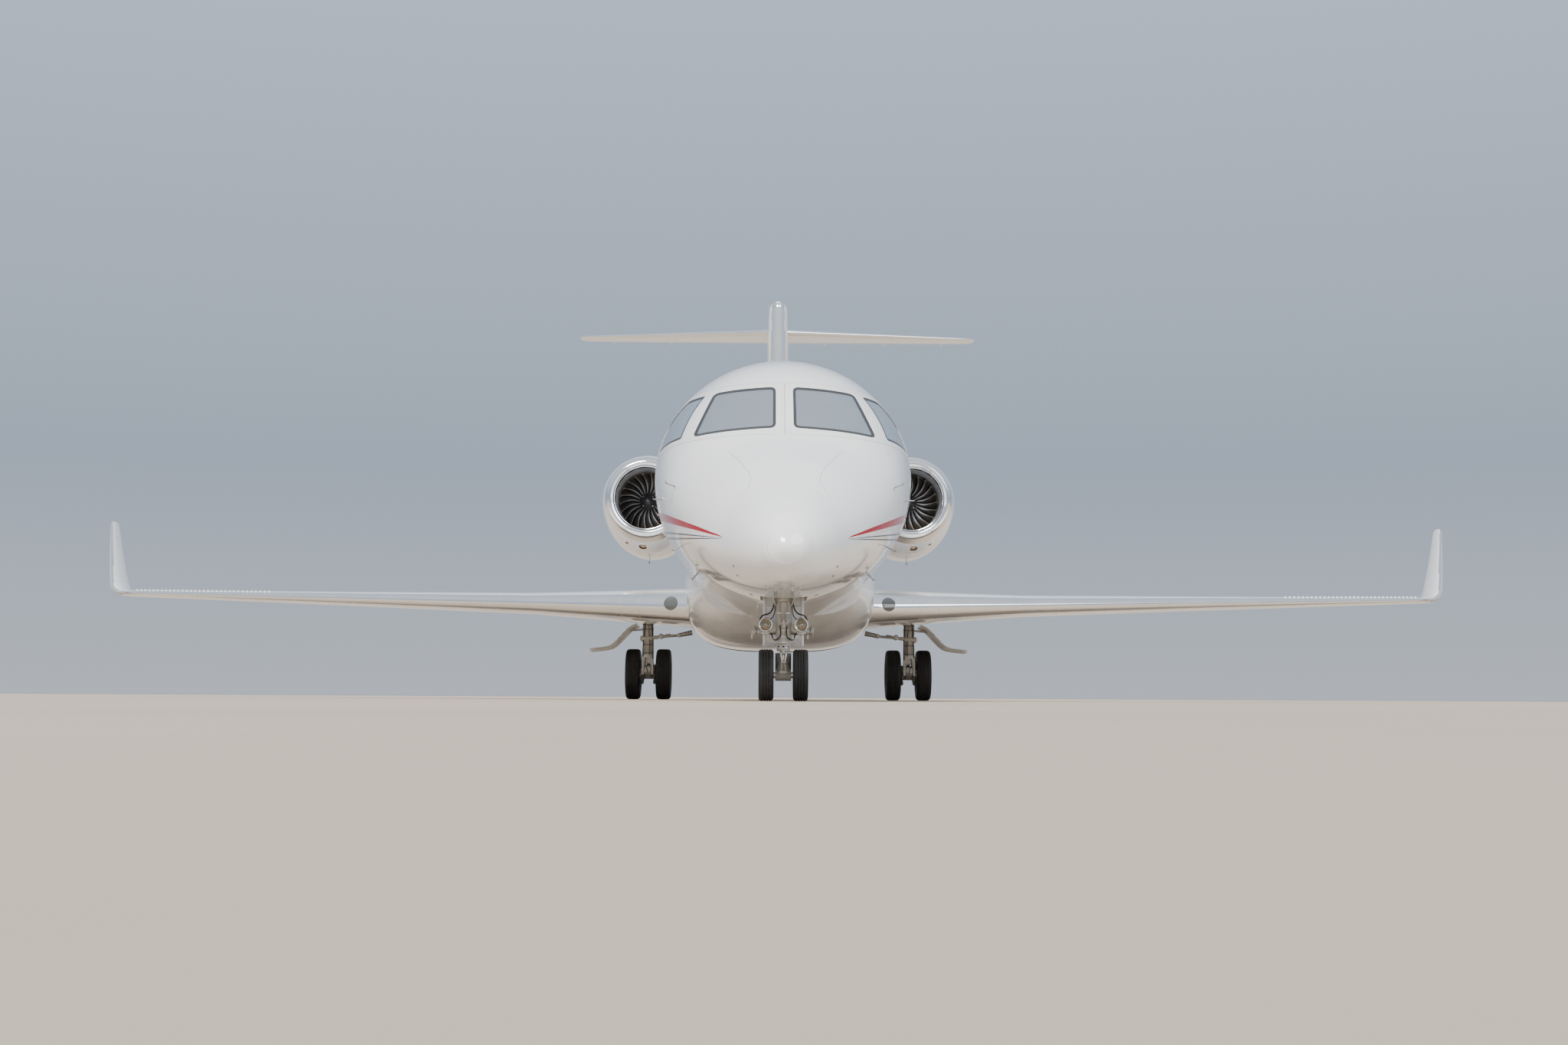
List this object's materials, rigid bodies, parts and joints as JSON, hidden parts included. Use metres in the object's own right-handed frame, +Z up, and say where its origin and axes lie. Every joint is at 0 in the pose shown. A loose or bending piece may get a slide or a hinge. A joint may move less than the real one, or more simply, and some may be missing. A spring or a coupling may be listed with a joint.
{
  "type": "business jet",
  "caption": "T-tail business jet standing on its landing gear, with rear-mounted engines, winglets, an airstair door, moving control surfaces, a steering nose gear and turning fans.",
  "frame": {"origin": "on the ground under the aircraft, half way along its length and on its centre plane", "axes": "+X towards the aircraft's left wing tip, +Y towards the tail, +Z up"},
  "size_m": [19.4584, 20.3004, 6.46],
  "materials": {
    "white_paint": "glossy enamel",
    "gear_paint": "satin enamel",
    "hub_paint": "satin enamel",
    "tyre_rubber": "worn rubber",
    "window_glass": "clear",
    "fan_metal": "satin titanium",
    "engine_metal": "heat-tinted",
    "lamp_glass": "clear lens",
    "polished_metal": "polished",
    "cabin_trim": "beige leather",
    "floor_covering": "metal floor panels under a short carpet",
    "panel_black": "matt"
  },
  "bodies": {
    "airframe": {"radome": "white_paint", "forward_fuselage": "white_paint", "cabin_fuselage": "white_paint", "aft_fuselage": "white_paint", "belly_fairing": "white_paint", "fin": "white_paint", "tailplane": "white_paint", "nose_gear_door": "white_paint", "wing_left": "white_paint", "winglet_left": "white_paint", "nacelle_left": "white_paint", "pylon_left": "white_paint", "main_gear_door_left": "white_paint", "wing_right": "white_paint", "winglet_right": "white_paint", "nacelle_right": "white_paint", "pylon_right": "white_paint", "main_gear_door_right": "white_paint", "nose_leg": "gear_paint", "main_leg_left": "gear_paint", "trailing_arm_left": "gear_paint", "main_leg_right": "gear_paint", "trailing_arm_right": "gear_paint", "cabin_floor": "floor_covering", "pilot_seat_left": "cabin_trim", "furnishings_left": "cabin_trim", "furnishings_right": "cabin_trim", "instrument_panel": "panel_black", "windscreen_left": "window_glass", "side_window_left": "window_glass", "cabin_windows_left": "window_glass", "windscreen_right": "window_glass", "side_window_right": "window_glass", "cabin_windows_right": "window_glass", "engine_core_left": "engine_metal", "engine_core_right": "engine_metal", "gear_lamp_left": "lamp_glass", "gear_lamp_right": "lamp_glass"},
    "entry_door": {"entry_door": "white_paint"},
    "nose_steering": {"nose_fork": "gear_paint"},
    "nose_wheels": {"nose_wheel_hubs": "hub_paint", "nose_tyre_left": "tyre_rubber", "nose_tyre_right": "tyre_rubber"},
    "rudder": {"rudder": "white_paint"},
    "main_wheels_left": {"main_wheel_hubs_left": "hub_paint", "main_tyre_left_outer": "tyre_rubber", "main_tyre_left_inner": "tyre_rubber"},
    "fan_left": {"fan_left": "fan_metal"},
    "flap_inboard_left": {"flap_inboard_left": "white_paint"},
    "flap_outboard_left": {"flap_outboard_left": "white_paint"},
    "aileron_left": {"aileron_left": "white_paint"},
    "elevator_left": {"elevator_left": "white_paint"},
    "main_wheels_right": {"main_wheel_hubs_right": "hub_paint", "main_tyre_right_outer": "tyre_rubber", "main_tyre_right_inner": "tyre_rubber"},
    "fan_right": {"fan_right": "fan_metal"},
    "flap_inboard_right": {"flap_inboard_right": "white_paint"},
    "flap_outboard_right": {"flap_outboard_right": "white_paint"},
    "aileron_right": {"aileron_right": "white_paint"},
    "elevator_right": {"elevator_right": "white_paint"}
  },
  "joints": [
    {"name": "nose_steering", "type": "hinge", "parent": "airframe", "child": "nose_steering", "pos_m": [0, -7.75, 0.45], "axis": [0, 0, 1], "range_deg": [-60, 60]},
    {"name": "nose_wheel_spin", "type": "hinge", "parent": "nose_steering", "child": "nose_wheels", "pos_m": [0, -7.75, 0.222], "axis": [1, 0, 0], "continuous": true},
    {"name": "main_wheel_spin_left", "type": "hinge", "parent": "airframe", "child": "main_wheels_left", "pos_m": [1.647, 0.75, 0.32], "axis": [1, 0, 0], "continuous": true},
    {"name": "main_wheel_spin_right", "type": "hinge", "parent": "airframe", "child": "main_wheels_right", "pos_m": [-1.647, 0.75, 0.32], "axis": [1, 0, 0], "continuous": true},
    {"name": "fan_spin_left", "type": "hinge", "parent": "airframe", "child": "fan_left", "pos_m": [1.79, 2.72, 2.706], "axis": [0, 1, 0], "continuous": true},
    {"name": "fan_spin_right", "type": "hinge", "parent": "airframe", "child": "fan_right", "pos_m": [-1.79, 2.72, 2.706], "axis": [0, 1, 0], "continuous": true},
    {"name": "entry_door_hinge", "type": "hinge", "parent": "airframe", "child": "entry_door", "pos_m": [0.806, -5.51, 1.176], "axis": [0, 1, 0], "range_deg": [0, 120]},
    {"name": "rudder_hinge", "type": "hinge", "parent": "airframe", "child": "rudder", "pos_m": [0, 6.9587, 3.48], "axis": [0, 0.5101, 0.8601], "range_deg": [-30, 30]},
    {"name": "flap_inboard_hinge_left", "type": "hinge", "parent": "airframe", "child": "flap_inboard_left", "pos_m": [1.33, 0.97592, 1.09871], "axis": [-0.9934, -0.1058, -0.0434], "range_deg": [0, 35]},
    {"name": "flap_inboard_hinge_right", "type": "hinge", "parent": "airframe", "child": "flap_inboard_right", "pos_m": [-1.33, 0.97592, 1.09871], "axis": [-0.9934, 0.1058, 0.0434], "range_deg": [0, 35]},
    {"name": "flap_outboard_hinge_left", "type": "hinge", "parent": "airframe", "child": "flap_outboard_left", "pos_m": [3.42, 1.30355, 1.19193], "axis": [-0.9026, -0.4285, -0.0408], "range_deg": [0, 35]},
    {"name": "flap_outboard_hinge_right", "type": "hinge", "parent": "airframe", "child": "flap_outboard_right", "pos_m": [-3.42, 1.30355, 1.19193], "axis": [-0.9026, 0.4285, 0.0408], "range_deg": [0, 35]},
    {"name": "aileron_hinge_left", "type": "hinge", "parent": "airframe", "child": "aileron_left", "pos_m": [6.65, 2.83698, 1.33794], "axis": [-0.9026, -0.4285, -0.0408], "range_deg": [-22, 22]},
    {"name": "aileron_hinge_right", "type": "hinge", "parent": "airframe", "child": "aileron_right", "pos_m": [-6.65, 2.83698, 1.33794], "axis": [-0.9026, 0.4285, 0.0408], "range_deg": [-22, 22]},
    {"name": "elevator_hinge_left", "type": "hinge", "parent": "airframe", "child": "elevator_left", "pos_m": [0.48, 8.83355, 6.03782], "axis": [-0.9375, -0.3436, -0.0558], "range_deg": [-25, 15]},
    {"name": "elevator_hinge_right", "type": "hinge", "parent": "airframe", "child": "elevator_right", "pos_m": [-0.48, 8.83355, 6.03782], "axis": [-0.9375, 0.3436, 0.0558], "range_deg": [-25, 15]}
  ],
  "couplings": [
    {"joint": "flap_outboard_hinge_left", "follows": "flap_inboard_hinge_left", "ratio": 1},
    {"joint": "flap_inboard_hinge_right", "follows": "flap_inboard_hinge_left", "ratio": 1},
    {"joint": "flap_outboard_hinge_right", "follows": "flap_inboard_hinge_left", "ratio": 1},
    {"joint": "aileron_hinge_right", "follows": "aileron_hinge_left", "ratio": -1},
    {"joint": "elevator_hinge_right", "follows": "elevator_hinge_left", "ratio": 1}
  ]
}
